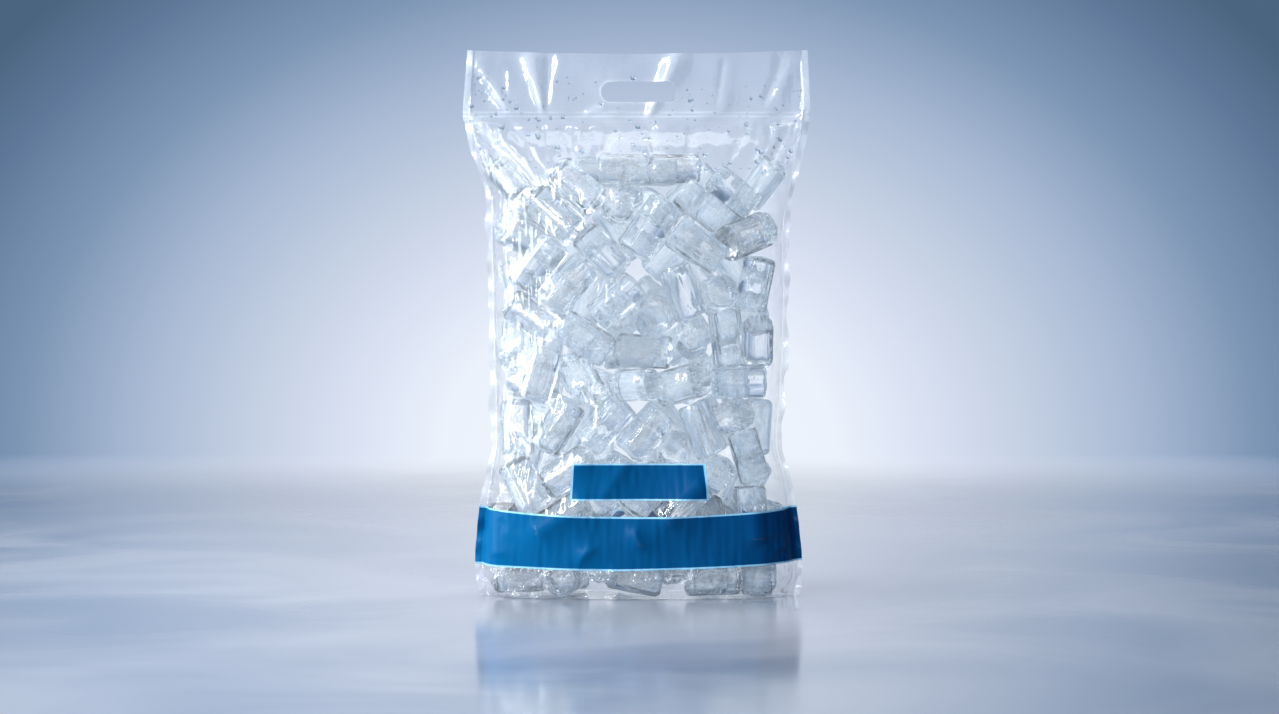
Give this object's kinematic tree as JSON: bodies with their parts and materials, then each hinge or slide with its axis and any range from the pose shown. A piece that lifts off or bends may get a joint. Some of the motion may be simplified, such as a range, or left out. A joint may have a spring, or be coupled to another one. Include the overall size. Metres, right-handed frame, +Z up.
{
  "type": "bag of cylinder ice",
  "caption": "Clear plastic bag of solid ice cylinders, standing upright, with a flat header and hand hole, a blue band round its foot and a bare blue label.",
  "frame": {"origin": "on the floor, at the middle of the bag's bounding box", "axes": "+Z up the bag to the header; +Y through the bag from the printed front to the rear, so the front faces -Y; +X to the right as seen from the front"},
  "size_m": [0.348, 0.11, 0.545],
  "materials": {
    "film": "clear polyethylene film, glossy",
    "ice": "clear ice with streaks and cloudy cores",
    "band_ink": "blue printing ink under glossy film",
    "border_ink": "pale cyan printing ink under glossy film",
    "water": "water droplets"
  },
  "bodies": {
    "root": {"front_film": "film", "back_film": "film", "base_film": "film", "ice_01": "ice", "ice_02": "ice", "ice_03": "ice", "ice_04": "ice", "ice_05": "ice", "ice_06": "ice", "ice_07": "ice", "ice_08": "ice", "ice_09": "ice", "ice_10": "ice", "ice_11": "ice", "ice_12": "ice", "ice_13": "ice", "ice_14": "ice", "ice_15": "ice", "ice_16": "ice", "ice_17": "ice", "ice_18": "ice", "ice_19": "ice", "ice_20": "ice", "ice_21": "ice", "ice_22": "ice", "ice_23": "ice", "ice_24": "ice", "ice_25": "ice", "ice_26": "ice", "ice_27": "ice", "ice_28": "ice", "ice_29": "ice", "ice_30": "ice", "ice_31": "ice", "ice_32": "ice", "ice_33": "ice", "ice_34": "ice", "ice_35": "ice", "ice_36": "ice", "ice_37": "ice", "ice_38": "ice", "ice_39": "ice", "ice_40": "ice", "ice_41": "ice", "ice_42": "ice", "ice_43": "ice", "ice_44": "ice", "ice_45": "ice", "ice_46": "ice", "ice_47": "ice", "ice_48": "ice", "ice_49": "ice", "ice_50": "ice", "ice_51": "ice", "ice_52": "ice", "ice_53": "ice", "ice_54": "ice", "ice_55": "ice", "ice_56": "ice", "ice_behind": "ice"}
  },
  "joints": []
}
